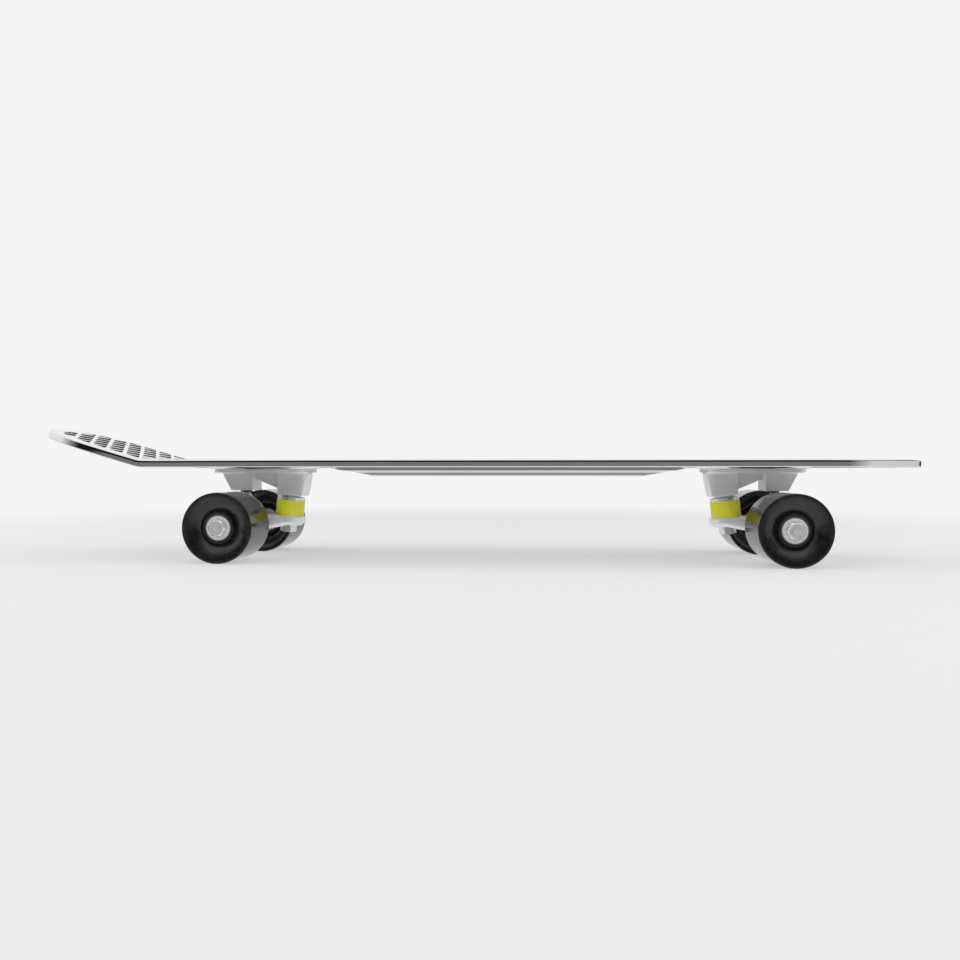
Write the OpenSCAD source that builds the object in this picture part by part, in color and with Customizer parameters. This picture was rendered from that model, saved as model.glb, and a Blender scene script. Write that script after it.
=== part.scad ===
/* [Deck] */
// Length of the deck, tip to tip
deck_length = 766; // [650:1:900]
// Width across the middle
deck_width = 152; // [140:1:200]
// Width of the tail ahead of its corners
tail_width = 124; // [100:1:140]
// Height of the moulded edge
edge_height = 6.7; // [5:0.1:10]
// Thickness of the top skin
skin = 4.4; // [3:0.1:4.9]
// How far the two truck pads stand out below the edge
pad_drop = 1.2; // [0.5:0.1:3]
// Width of the stiff rim under the edge
rim_width = 7; // [4:0.5:12]
// Horizontal length of the kicktail, tip to bend
kick_length = 102; // [70:0.5:120]
// Rise of the kicktail
kick_angle = 16.3; // [5:0.1:25]
// Radius of the crease in front of the kicktail
bend_radius = 24; // [10:1:80]
// Length over which the nose rounds off
nose_round = 150; // [90:5:200]
// Squareness of the nose, 2 is an ellipse
nose_power = 2.25; // [2:0.05:4]
// Squareness of the tail, 2 is an ellipse
tail_power = 3; // [2:0.1:5]
// Length over which the deck narrows towards the tail
taper_length = 170; // [80:5:220]

/* [Stiffening tunnel] */
// Depth of the tunnel below the deck's underside
tunnel_depth = 7.5; // [4:0.5:12]
// Width of the tunnel at its root
tunnel_width = 66; // [50:1:80]
// Distance from the front axle to the tunnel
tunnel_gap_front = 71.5; // [66:0.5:110]
// Distance from the rear axle to the tunnel
tunnel_gap_rear = 80; // [66:0.5:110]
// Corner radius of the tunnel
tunnel_corner = 14; // [8:1:24]
// Length over which each end of the tunnel slopes down
tunnel_slope = 44; // [20:1:70]
// Depth of the step along the tunnel's sides
tunnel_step = 2.7; // [1:0.1:4]
// How far that step is set in
step_inset = 3; // [2:0.1:5]
// Wall left around the hollows in the tunnel
tunnel_wall = 3; // [2:0.5:5]
// Spacing of the cross ribs inside the tunnel
rib_spacing = 38; // [25:1:60]

/* [Layout] */
// Distance between the two axles
wheelbase = 467; // [400:1:520]
// Distance from the front axle to the tip of the nose
nose_overhang = 122.4; // [110:0.2:180]

/* [Wheels] */
// Diameter of a wheel
wheel_d = 59; // [50:0.5:70]
// Width of a wheel across its tread
wheel_w = 46; // [42:0.5:52]
// Distance between the outer faces of the two wheels on an axle
track_outer = 159; // [150:0.5:175]
// Rounding of the tread's two edges
tread_edge = 0.9; // [0.4:0.1:3]
// Width of the flat band beside the tread
side_band = 0.6; // [0.4:0.1:4]
// How far the hub sits out from the middle of the wheel
hub_out = 6.9; // [0:0.1:7]
// Radius of the hub's end
hub_end_r = 13.2; // [12:0.1:16]
// Radius where the dish in the wheel's face starts
dish_start = 14.6; // [14:0.1:20]
// Depth of the dish in the outer face
dish_out = 6.6; // [5:0.1:10]
// Depth of the dish in the inner face
dish_in = 16.5; // [10:0.1:18]

/* [Bearings] */
// Outside diameter of a bearing
bearing_d = 22; // [19:0.5:26]
// Width of a bearing
bearing_w = 7; // [6:0.5:7]
// Length of the spacer between the two bearings of a wheel
spacer_l = 10; // [8:0.5:12]
// Radial thickness of a bearing's inner ring
ring_t = 1.9; // [1.5:0.1:2]
// Number of balls in a bearing
ball_count = 7; // [6:1:8]
// Diameter of a ball
ball_d = 3.9; // [3.5:0.1:4]
// Thickness of a bearing shield
shield_t = 0.4; // [0.3:0.05:0.6]

/* [Truck] */
// Height from the axle's centre to the top of the baseplate
truck_height = 49.2; // [48:0.2:60]
// Length of the baseplate's flange
base_length = 80.8; // [78:0.2:90]
// Width of the baseplate's flange
base_width = 56; // [54:0.5:64]
// Thickness of the baseplate's flange
base_t = 3.4; // [3:0.1:6]
// Corner radius of the flange
base_corner = 7; // [2:0.5:9]
// Distance from the axle out to the flange's outer end
base_out = 23.8; // [20:0.2:30]
// Width of the two legs under the flange
leg_w = 26; // [24:0.5:30]
// Width of the web between the legs
web_w = 15; // [10:0.5:20]
// Radius of the axle housing
housing_r = 8; // [6.5:0.1:9]
// Diameter of the axle
axle_d = 8; // [6:0.5:8]

/* [Steering] */
// Distance from the axle out to the pivot
pivot_out = 2.5; // [0:0.1:6]
// Height of the pivot above the axle's centre
pivot_h = 34; // [32:0.1:38]
// Radius of the pivot's rounded pin
pivot_r = 3; // [2.5:0.1:3.5]
// Wall of the pivot cup
cup_wall = 2.2; // [1.5:0.1:3]
// Distance from the axle in to the kingpin, at the bushing's seat
kingpin_in = 37.7; // [34:0.1:46]
// Height of the bushing's seat above the axle's centre
seat_h = 7.2; // [4:0.1:10]
// Lean of the kingpin from the vertical
kingpin_tilt = 5.5; // [0:0.1:10]
// Diameter of the kingpin
kingpin_d = 8; // [7:0.1:9]
// Diameter of the upper bushing
bushing_d = 25.4; // [22:0.1:27]
// Height of the upper bushing
bushing_h = 14.1; // [12:0.1:15]
// Thickness of the cup washer over the bushing
cup_washer_t = 2.8; // [1.5:0.1:3.5]
// Thickness of the hanger's ring
ring_h = 6; // [5:0.1:8]
// Depth of the boss under the ring
ring_boss = 2.2; // [1:0.1:4]
// Height of the lower bushing
lower_bushing_h = 5.2; // [4:0.1:6]

/* [Fasteners] */
// Distance between mounting bolts along the board
bolt_pitch_x = 53.8; // [50:0.1:60]
// Distance between mounting bolts across the board
bolt_pitch_y = 41.3; // [38:0.1:42]
// Diameter of a mounting bolt
bolt_d = 5; // [4:0.1:5]
// Diameter of a mounting bolt's countersunk head
bolt_head_d = 9.4; // [7:0.1:10]
// Width across the flats of a mounting nut
bolt_nut_flats = 8; // [7:0.1:9]
// Thickness of a mounting nut
bolt_nut_t = 2.4; // [2:0.1:3]
// Width across the flats of an axle nut
axle_nut_flats = 12.7; // [11:0.1:14]
// Thickness of an axle nut
axle_nut_t = 4; // [3:0.1:7]
// How far the axle stands out of its nut
axle_stick = 0.5; // [0.2:0.1:2]
// Thickness of a speed washer
washer_t = 0.8; // [0.6:0.1:1.5]
// Width across the flats of the kingpin's head and nut
kingpin_flats = 13; // [12:0.1:14]
// Thickness of the kingpin's nut
kingpin_nut_t = 5; // [4:0.1:6]

/* [Hidden] */
$fn = 96;
over = 1;             // how far a cut runs past the face it opens
sink = 0.5;           // how far a rib or pad runs into the skin it grows from
run_fit = 0.05;       // radial clearance of a turning fit
slip_fit = 0.1;       // radial clearance of a fastener in its hole

// Heights above the ground and places along the board
axle_z = wheel_d / 2;
under_z = axle_z + truck_height + pad_drop;
top_z = under_z + edge_height;
front_x = deck_length / 2 - nose_overhang;
rear_x = front_x - wheelbase;
tail_x = -deck_length / 2;
nose_x = deck_length / 2;
bend_x = tail_x + kick_length;

// Truck, measured from the axle's centre: first along the board towards its
// middle, then across, then up
base_mid = base_length / 2 - base_out;
flange_z = truck_height - base_t;
pivot_foot = 9.8;              // half the length of the pivot leg's foot
pivot_foot_z = pivot_h - 4;
leg_rake = 8.5;                // how far the pivot leg's outer face leans
gap_top_z = pivot_h + 5.8;     // top of the notch between the legs
gap_top_l = 2.8;               // length of the notch's flat top
web_end_z = pivot_h - 3;       // where the web meets the kingpin leg
leg_back = 7.5;                // kingpin leg, from the seat outwards
leg_front = 14.7;              // and towards the board's middle
leg_flare = 4.9;               // how much wider that end is at the flange

// Stack on the kingpin, measured along it from the upper bushing's seat
leg_face_t = bushing_h + cup_washer_t;
leg_boss = 1.9;                // height of the boss on the kingpin leg
leg_boss_r = 8.5;
kingpin_head_t = 4.2;
kingpin_head_z = 37;           // underside of the kingpin's head
lower_seat_t = -ring_h + 2.8;
lower_end_t = lower_seat_t - lower_bushing_h;
lower_washer_t = 1.2;
nut_top_t = lower_end_t - lower_washer_t;
kingpin_end_t = nut_top_t - kingpin_nut_t - 0.6;
ring_r = bushing_d / 2 + 2;
ring_hole_r = kingpin_d / 2 + 1.6;
lower_bushing_r = 8.8;
lower_pocket_r = lower_bushing_r + 0.5;
bushing_bore_r = kingpin_d / 2 + slip_fit;

// Pivot pin and its cup
cup_r = pivot_r + cup_wall;
cup_top_z = pivot_h + pivot_r + cup_wall;
cup_low_z = pivot_foot_z - 1.6;
cup_mouth_r = pivot_r + 1.3;
pin_root_z = pivot_h - 8;

// Wheels, measured from the wheel's middle plane outwards
wheel_y = (track_outer - wheel_w) / 2;
half_w = wheel_w / 2;
hub_y = spacer_l / 2 + bearing_w;
wheel_r = wheel_d / 2;
bearing_r = bearing_d / 2;
bore_r = axle_d / 2;
inner_land_r = bore_r + ring_t;
ball_seat = 0.1;               // how deep a ball lies in each ring
outer_land_r = inner_land_r + ball_d - 2 * ball_seat;
pitch_r = (inner_land_r + outer_land_r) / 2;
groove_r = ball_d / 2 + run_fit;
hub_bore_r = outer_land_r;
cage_rim = 0.45;               // what is left of the cage beside a ball
cage_w = ball_d + 2 * slip_fit + 2 * cage_rim;
cage_t = 1.4;
hub_mid_y = wheel_y + hub_out;
hanger_w = 2 * (hub_mid_y - hub_y - washer_t);
nut_y = hub_mid_y + hub_y + washer_t;
axle_end_y = nut_y + axle_nut_t + axle_stick;
head_depth = 2.6;

// Half the deck's width at each place along it
function smooth(u) = u * u * (3 - 2 * u);
function nose_half(u, inset) =
    (deck_width / 2 - inset) * pow(1 - pow(u, nose_power), 1 / nose_power);
function tail_half(u, inset) =
    (tail_width / 2 - inset) * pow(1 - pow(u, tail_power), 1 / tail_power);

// One side of the deck's outline, tail to nose, set in by a margin
end_steps = 14;
side_steps = 6;
tail_start = bend_x - 10;
nose_start = nose_x - nose_round;
function deck_side(inset) = concat(
    [for (i = [0 : end_steps])
        let (u = cos(90 * i / end_steps))
        [tail_start - u * (tail_start - tail_x - inset), tail_half(u, inset)]],
    [for (i = [1 : side_steps])
        let (u = i / side_steps)
        [tail_start + u * taper_length,
            tail_width / 2 + smooth(u) * (deck_width - tail_width) / 2 - inset]],
    [for (i = [0 : end_steps])
        let (u = sin(90 * i / end_steps))
        [nose_start + u * (nose_round - inset), nose_half(u, inset)]]
);
function flip(points) =
    [for (i = [len(points) - 2 : -1 : 1]) [points[i][0], -points[i][1]]];
module deck_plan(inset) {
    side = deck_side(inset);
    polygon(concat(side, flip(side)));
}

// Height of a line that starts depth below the top, along the deck
bend_run = bend_radius * sin(kick_angle);
bend_half = bend_radius * tan(kick_angle / 2);
bend_steps = 6;
function side_line(depth) = concat(
    [[nose_x + over, -depth]],
    [for (i = [0 : bend_steps])
        let (a = kick_angle * i / bend_steps, r = bend_radius + depth)
        [bend_x + bend_half - r * sin(a), bend_radius - r * cos(a)]],
    [[bend_x + bend_half - (bend_radius + depth) * sin(kick_angle)
            - kick_length * cos(kick_angle),
        bend_radius - (bend_radius + depth) * cos(kick_angle)
            + kick_length * sin(kick_angle)]]
);
function reversed(points) = [for (i = [len(points) - 1 : -1 : 0]) points[i]];
module deck_slab(top, bottom) {
    translate([0, deck_width, top_z])
        rotate([90, 0, 0])
            linear_extrude(2 * deck_width)
                polygon(concat(side_line(top), reversed(side_line(bottom))));
}
module deck_layer(inset, top, bottom) {
    intersection() {
        deck_slab(top, bottom);
        linear_extrude(top_z + deck_length / 2)
            deck_plan(inset);
    }
}

// A flat shape with round ends, along the board
module rounded_bar(length, width, radius) {
    union() {
        square([length - 2 * radius, width], center = true);
        square([length, width - 2 * radius], center = true);
        for (x = [-1, 1], y = [-1, 1])
            translate([x * (length / 2 - radius), y * (width / 2 - radius)])
                circle(radius);
    }
}

// Places for the two trucks and the four wheels
module at_truck(x, turn) {
    translate([x, 0, axle_z])
        rotate([0, 0, turn])
            children();
}
module at_front() {
    at_truck(front_x, 180) children();
}
module at_rear() {
    at_truck(rear_x, 0) children();
}
module at_wheel(x, side) {
    translate([x, side * wheel_y, axle_z])
        rotate([-90 * side, 0, 0])
            children();
}
module on_kingpin() {
    translate([kingpin_in, 0, seat_h])
        rotate([0, kingpin_tilt, 0])
            children();
}
module side_plate(width, points) {
    rotate([90, 0, 0])
        linear_extrude(width, center = true)
            polygon(points);
}
module across(radius, length) {
    rotate([90, 0, 0])
        cylinder(r = radius, h = length, center = true);
}
module at_bolts() {
    for (x = [-1, 1], y = [-1, 1])
        translate([base_mid + x * bolt_pitch_x / 2, y * bolt_pitch_y / 2, 0])
            children();
}
module hex(flats, height) {
    cylinder(r = flats / sqrt(3), h = height, $fn = 6);
}
module washer(outer, inner, height) {
    difference() {
        cylinder(r = outer, h = height);
        translate([0, 0, -over])
            cylinder(r = inner, h = height + 2 * over);
    }
}

// Deck: one moulding, a skin with a stiff rim, two truck pads and a tunnel
tunnel_start = rear_x + tunnel_gap_rear;
tunnel_end = front_x - tunnel_gap_front;
tunnel_l = tunnel_end - tunnel_start;
tunnel_mid = (tunnel_start + tunnel_end) / 2;
rib_count = floor((tunnel_l / 2 - tunnel_slope) / rib_spacing);
module tunnel_block(depth, inset) {
    translate([tunnel_mid, 0, under_z - depth])
        linear_extrude(depth + edge_height - skin + sink)
            rounded_bar(
                tunnel_l - 2 * inset, tunnel_width - 2 * inset, tunnel_corner - inset);
}
module tunnel() {
    root_z = top_z - skin + sink;
    intersection() {
        side_plate(deck_width, [
            [tunnel_start, root_z],
            [tunnel_start, under_z],
            [tunnel_start + tunnel_slope, under_z - tunnel_depth],
            [tunnel_end - tunnel_slope, under_z - tunnel_depth],
            [tunnel_end, under_z],
            [tunnel_end, root_z]]);
        union() {
            tunnel_block(tunnel_step, 0);
            tunnel_block(tunnel_depth, step_inset);
        }
    }
}
module tunnel_hollows() {
    cell_l = rib_spacing - tunnel_wall;
    cell_w = tunnel_width / 2 - step_inset - 1.5 * tunnel_wall;
    for (i = [-rib_count : rib_count - 1], y = [-1, 1])
        translate([
                tunnel_mid + (i + 0.5) * rib_spacing,
                y * (cell_w + tunnel_wall) / 2,
                under_z - tunnel_depth - over])
            linear_extrude(tunnel_depth + over)
                rounded_bar(cell_l, cell_w, tunnel_wall);
}
module truck_pad() {
    translate([base_mid, 0, truck_height])
        linear_extrude(pad_drop + edge_height - skin + sink)
            rounded_bar(
                base_length + rim_width, base_width + rim_width, base_corner);
}
module deck_bolt_holes() {
    translate([0, 0, truck_height]) {
        at_bolts() {
            translate([0, 0, -over])
                cylinder(r = bolt_d / 2 + slip_fit, h = pad_drop + edge_height + 2 * over);
            translate([0, 0, pad_drop + edge_height - head_depth])
                cylinder(r1 = bolt_d / 2, r2 = bolt_head_d / 2 + slip_fit, h = head_depth);
        }
    }
}
module deck() {
    color("gainsboro")
        difference() {
            union() {
                deck_layer(0, 0, skin);
                difference() {
                    deck_layer(0, skin - sink, edge_height);
                    deck_layer(rim_width, skin - over, edge_height + over);
                }
                tunnel();
                at_front() truck_pad();
                at_rear() truck_pad();
            }
            tunnel_hollows();
            at_front() deck_bolt_holes();
            at_rear() deck_bolt_holes();
        }
}

// Baseplate: a flange with a pivot leg, a kingpin leg and a web between them
module baseplate_legs() {
    foot_end = kingpin_in + leg_front;
    foot_start = kingpin_in - leg_back;
    lean = tan(kingpin_tilt);
    foot_mid_z = seat_h + leg_face_t + leg_boss;
    side_plate(leg_w, [
        [-pivot_out - pivot_foot - leg_rake, flange_z],
        [-pivot_out - pivot_foot, pivot_foot_z],
        [-pivot_out + pivot_foot, pivot_foot_z],
        [-pivot_out + pivot_foot, flange_z]]);
    side_plate(leg_w, [
        [foot_start, flange_z],
        [foot_start, foot_mid_z + leg_back * lean],
        [foot_end, foot_mid_z - leg_front * lean],
        [foot_end + leg_flare, flange_z]]);
    side_plate(web_w, [
        [-pivot_out, flange_z],
        [-pivot_out, gap_top_z],
        [-pivot_out + pivot_foot + gap_top_l, gap_top_z],
        [foot_start, web_end_z],
        [kingpin_in, web_end_z],
        [kingpin_in, flange_z]]);
}
module baseplate() {
    color("silver")
        difference() {
            union() {
                translate([base_mid, 0, flange_z])
                    linear_extrude(base_t)
                        rounded_bar(base_length, base_width, base_corner);
                intersection() {
                    baseplate_legs();
                    translate([base_mid, 0, 0])
                        linear_extrude(truck_height)
                            rounded_bar(base_length, leg_w, base_corner);
                }
                on_kingpin()
                    translate([0, 0, leg_face_t])
                        cylinder(r = leg_boss_r, h = 2 * leg_boss + over);
            }
            translate([-pivot_out, 0, pivot_foot_z - over])
                cylinder(r = cup_r, h = cup_top_z - pivot_foot_z + over);
            on_kingpin() {
                cylinder(r = kingpin_d / 2 + slip_fit, h = 2 * truck_height);
                translate([0, 0, kingpin_head_z])
                    cylinder(r = kingpin_flats / sqrt(3) + 0.6, h = truck_height);
            }
            translate([0, 0, flange_z - over])
                at_bolts() {
                    cylinder(r = bolt_d / 2 + slip_fit, h = base_t + 2 * over);
                    hex(bolt_nut_flats + 2 * slip_fit, bolt_nut_t + over);
                }
        }
}

// Pivot cup: a black plug with a round seat and a flared mouth
module pivot_cup() {
    color("black")
        translate([-pivot_out, 0, 0])
            difference() {
                translate([0, 0, cup_low_z])
                    cylinder(r = cup_r, h = cup_top_z - cup_low_z);
                translate([0, 0, pivot_h])
                    sphere(r = pivot_r + run_fit);
                translate([0, 0, cup_low_z - over])
                    cylinder(
                        r1 = cup_mouth_r + over * (cup_mouth_r - pivot_r) / (pivot_h - cup_low_z),
                        r2 = pivot_r + run_fit,
                        h = pivot_h - cup_low_z + over);
            }
}

// Kingpin with its head in the baseplate, and what it clamps
module kingpin() {
    color("silver")
        on_kingpin() {
            translate([0, 0, kingpin_end_t])
                cylinder(r = kingpin_d / 2, h = kingpin_head_z - kingpin_end_t);
            translate([0, 0, kingpin_head_z])
                hex(kingpin_flats, kingpin_head_t);
        }
}
module kingpin_nut() {
    color("silver")
        on_kingpin()
            translate([0, 0, nut_top_t - kingpin_nut_t])
                difference() {
                    hex(kingpin_flats, kingpin_nut_t);
                    translate([0, 0, -over])
                        cylinder(r = kingpin_d / 2, h = kingpin_nut_t + 2 * over);
                }
}
module kingpin_washers() {
    cup_lip = 0.9;
    color("silver")
        on_kingpin() {
            translate([0, 0, bushing_h])
                difference() {
                    washer(bushing_d / 2 - 0.2, kingpin_d / 2 + slip_fit, cup_washer_t);
                    translate([0, 0, cup_washer_t - cup_lip])
                        washer(bushing_d / 2 - 1.6, leg_boss_r + 0.4, cup_lip + over);
                }
            translate([0, 0, nut_top_t])
                washer(7.4, kingpin_d / 2 + slip_fit, lower_washer_t);
        }
}
module upper_bushing() {
    color("yellowgreen")
        on_kingpin()
            washer(bushing_d / 2, bushing_bore_r, bushing_h);
}
module lower_bushing() {
    color("yellowgreen")
        on_kingpin()
            translate([0, 0, lower_end_t])
                difference() {
                    cylinder(r1 = 7.4, r2 = lower_bushing_r, h = lower_bushing_h);
                    translate([0, 0, -over])
                        cylinder(r = bushing_bore_r, h = lower_bushing_h + 2 * over);
                }
}

// Mounting bolts, countersunk in the deck, and nuts sunk in the flange
module mounting_bolts() {
    shank_l = edge_height + pad_drop + base_t;
    drive_l = 5.4;
    drive_w = 1.1;
    color("silver")
        translate([0, 0, flange_z])
            at_bolts()
                difference() {
                    union() {
                        cylinder(r = bolt_d / 2, h = shank_l - head_depth);
                        translate([0, 0, shank_l - head_depth])
                            cylinder(r1 = bolt_d / 2, r2 = bolt_head_d / 2, h = head_depth);
                    }
                    for (turn = [0, 90])
                        rotate([0, 0, turn])
                            translate([-drive_l / 2, -drive_w / 2, shank_l - 1.4])
                                cube([drive_l, drive_w, 1.4 + over]);
                }
}
module mounting_nuts() {
    color("silver")
        translate([0, 0, flange_z])
            at_bolts()
                difference() {
                    hex(bolt_nut_flats, bolt_nut_t);
                    translate([0, 0, -over])
                        cylinder(r = bolt_d / 2, h = bolt_nut_t + 2 * over);
                }
}

// Hanger: the axle housing, a wing up to the pivot pin and an arm to the ring
wing_w = 15;
wing_r = 5.6;
wing_z = pin_root_z - wing_r - 1;
arm_w = 44;
blend_in = 0.6;       // how far the arm stays inside the ring's own faces
module hanger_ring(inset) {
    on_kingpin()
        translate([0, 0, inset - ring_h])
            cylinder(r = ring_r - inset, h = ring_h - 2 * inset);
}
module hanger() {
    color("silver")
        difference() {
            union() {
                across(housing_r - 0.6, hanger_w);
                hull() {
                    across(housing_r, hanger_w - 12, $fn = 32);
                    translate([-pivot_out, 0, wing_z])
                        across(wing_r, wing_w, $fn = 32);
                }
                hull() {
                    across(housing_r, arm_w, $fn = 32);
                    hanger_ring(blend_in, $fn = 48);
                }
                hull() {
                    translate([-pivot_out, 0, wing_z])
                        across(wing_r, wing_w - 4, $fn = 32);
                    translate([-pivot_out, 0, pin_root_z])
                        cylinder(r = pivot_r + 0.8, h = 1, $fn = 32);
                }
                translate([-pivot_out, 0, pin_root_z])
                    cylinder(r = pivot_r, h = pivot_h - pin_root_z);
                translate([-pivot_out, 0, pivot_h])
                    sphere(r = pivot_r);
                hanger_ring(0);
                on_kingpin()
                    translate([0, 0, -ring_h - ring_boss])
                        cylinder(r = ring_r - 2.4, h = ring_boss + over);
            }
            across(axle_d / 2, hanger_w + 2 * over);
            on_kingpin() {
                translate([0, 0, -2 * ring_h - ring_boss])
                    cylinder(r = ring_hole_r, h = 2 * ring_h + ring_boss + over);
                translate([0, 0, -3 * ring_h])
                    cylinder(r = lower_pocket_r, h = 3 * ring_h + lower_seat_t);
            }
        }
}

// Axle and everything that stays still on it
module axle() {
    color("silver")
        union() {
            across(axle_d / 2, 2 * axle_end_y - 1.2);
            across(axle_d / 2 - 0.5, 2 * axle_end_y);
        }
}
module on_both_wheels() {
    for (side = [-1, 1])
        translate([0, side * hub_mid_y, 0])
            rotate([-90, 0, 0])
                children();
}
module bearing_pair() {
    for (side = [-1, 1])
        translate([0, 0, side * (spacer_l + bearing_w) / 2])
            children();
}
module at_hub() {
    translate([0, 0, hub_out])
        bearing_pair()
            children();
}
module race_groove() {
    rotate_extrude()
        translate([pitch_r, 0])
            circle(groove_r);
}
module inner_rings() {
    color("silver")
        on_both_wheels()
            bearing_pair()
                difference() {
                    translate([0, 0, -bearing_w / 2])
                        washer(inner_land_r, bore_r, bearing_w);
                    race_groove();
                }
}
module bearing_spacers() {
    color("silver")
        on_both_wheels()
            translate([0, 0, -spacer_l / 2])
                washer(bore_r + 1.4, axle_d / 2, spacer_l);
}
module speed_washers() {
    color("silver")
        on_both_wheels()
            for (z = [hub_y, -hub_y - washer_t])
                translate([0, 0, z])
                    washer(inner_land_r - 0.1, axle_d / 2, washer_t);
}
module axle_nuts() {
    color("silver")
        for (side = [-1, 1])
            translate([0, side * nut_y, 0])
                rotate([-90 * side, 0, 0])
                    difference() {
                        intersection() {
                            hex(axle_nut_flats, axle_nut_t);
                            cylinder(
                                r1 = axle_nut_flats / 2 + axle_nut_t,
                                r2 = axle_nut_flats / 2 - 0.3,
                                h = axle_nut_t);
                        }
                        translate([0, 0, -over])
                            cylinder(r = axle_d / 2, h = axle_nut_t + 2 * over);
                    }
}

// Wheel: one urethane casting with a dish in each face and two bearing seats
dish_steps = 8;
dish_end = wheel_r - tread_edge - side_band;
dish_curve = 1.9;              // 1 is a cone, more is steeper beside the hub
hub_lip = 0.2;                 // how far a bearing stands out of the hub
function dish(side, depth) = [for (i = [0 : dish_steps])
    let (u = i / dish_steps)
    [dish_start + (dish_end - dish_start) * u,
        side * (half_w - depth * pow(1 - u, dish_curve))]];
function face_side(side, depth) = concat(
    [[bearing_r, hub_out + side * spacer_l / 2],
        [bearing_r, hub_out + side * (hub_y - hub_lip - 0.3)],
        [bearing_r + 0.3, hub_out + side * (hub_y - hub_lip)],
        [hub_end_r, hub_out + side * (hub_y - hub_lip)]],
    dish(side, depth),
    [[wheel_r - tread_edge, side * half_w],
        [wheel_r - tread_edge * 0.3, side * (half_w - tread_edge * 0.3)],
        [wheel_r, side * (half_w - tread_edge)]]
);
module wheel() {
    color("black")
        rotate_extrude()
            polygon(concat(
                [[hub_bore_r, hub_out + spacer_l / 2]],
                face_side(1, dish_out),
                reversed(face_side(-1, dish_in)),
                [[hub_bore_r, hub_out - spacer_l / 2]]));
}
module outer_rings() {
    color("silver")
        at_hub()
            difference() {
                translate([0, 0, -bearing_w / 2])
                    washer(bearing_r, outer_land_r, bearing_w);
                race_groove();
                for (side = [-1, 1])
                    translate([0, 0, side * (bearing_w / 2 - shield_t) - (side < 0 ? over : 0)])
                        cylinder(r = outer_land_r + 0.4, h = shield_t + over);
            }
}
module at_balls() {
    for (i = [0 : ball_count - 1])
        rotate([0, 0, 360 * i / ball_count])
            translate([pitch_r, 0, 0])
                children();
}
module balls() {
    color("silver")
        at_hub()
            at_balls()
                sphere(d = ball_d);
}
module cages() {
    color("goldenrod")
        at_hub()
            difference() {
                translate([0, 0, -cage_w / 2])
                    washer(pitch_r + cage_t / 2, pitch_r - cage_t / 2, cage_w);
                at_balls()
                    rotate([0, 90, 0])
                        cylinder(d = ball_d + 2 * slip_fit, h = 3 * cage_t, center = true);
            }
}
module shields() {
    color("silver")
        at_hub()
            for (side = [-1, 1])
                translate([0, 0, side * (bearing_w - shield_t) / 2 - shield_t / 2])
                    washer(outer_land_r + 0.4, inner_land_r + 0.25, shield_t);
}

deck();
at_front() baseplate();  // front_baseplate
at_front() pivot_cup();  // front_pivot_cup
at_front() kingpin();  // front_kingpin
at_front() kingpin_nut();  // front_kingpin_nut
at_front() kingpin_washers();  // front_kingpin_washers
at_front() upper_bushing();  // front_upper_bushing
at_front() lower_bushing();  // front_lower_bushing
at_front() mounting_bolts();  // front_mounting_bolts
at_front() mounting_nuts();  // front_mounting_nuts
at_front() hanger();  // front_hanger
at_front() axle();  // front_axle
at_front() inner_rings();  // front_bearing_inner_rings
at_front() bearing_spacers();  // front_bearing_spacers
at_front() speed_washers();  // front_speed_washers
at_front() axle_nuts();  // front_axle_nuts
at_rear() baseplate();  // rear_baseplate
at_rear() pivot_cup();  // rear_pivot_cup
at_rear() kingpin();  // rear_kingpin
at_rear() kingpin_nut();  // rear_kingpin_nut
at_rear() kingpin_washers();  // rear_kingpin_washers
at_rear() upper_bushing();  // rear_upper_bushing
at_rear() lower_bushing();  // rear_lower_bushing
at_rear() mounting_bolts();  // rear_mounting_bolts
at_rear() mounting_nuts();  // rear_mounting_nuts
at_rear() hanger();  // rear_hanger
at_rear() axle();  // rear_axle
at_rear() inner_rings();  // rear_bearing_inner_rings
at_rear() bearing_spacers();  // rear_bearing_spacers
at_rear() speed_washers();  // rear_speed_washers
at_rear() axle_nuts();  // rear_axle_nuts
at_wheel(front_x, 1) wheel();  // front_left_wheel
at_wheel(front_x, 1) outer_rings();  // front_left_bearing_outer_rings
at_wheel(front_x, 1) balls();  // front_left_bearing_balls
at_wheel(front_x, 1) cages();  // front_left_bearing_cages
at_wheel(front_x, 1) shields();  // front_left_bearing_shields
at_wheel(front_x, -1) wheel();  // front_right_wheel
at_wheel(front_x, -1) outer_rings();  // front_right_bearing_outer_rings
at_wheel(front_x, -1) balls();  // front_right_bearing_balls
at_wheel(front_x, -1) cages();  // front_right_bearing_cages
at_wheel(front_x, -1) shields();  // front_right_bearing_shields
at_wheel(rear_x, 1) wheel();  // rear_left_wheel
at_wheel(rear_x, 1) outer_rings();  // rear_left_bearing_outer_rings
at_wheel(rear_x, 1) balls();  // rear_left_bearing_balls
at_wheel(rear_x, 1) cages();  // rear_left_bearing_cages
at_wheel(rear_x, 1) shields();  // rear_left_bearing_shields
at_wheel(rear_x, -1) wheel();  // rear_right_wheel
at_wheel(rear_x, -1) outer_rings();  // rear_right_bearing_outer_rings
at_wheel(rear_x, -1) balls();  // rear_right_bearing_balls
at_wheel(rear_x, -1) cages();  // rear_right_bearing_cages
at_wheel(rear_x, -1) shields();  // rear_right_bearing_shields
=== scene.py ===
"""A mirror-silver cruiser skateboard on a pale studio floor.

The deck, wheels and rim are drawn in millimetres and scaled by MM; other lengths are in metres.
"""

import math

import bmesh
import bpy
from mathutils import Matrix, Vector, geometry


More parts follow.
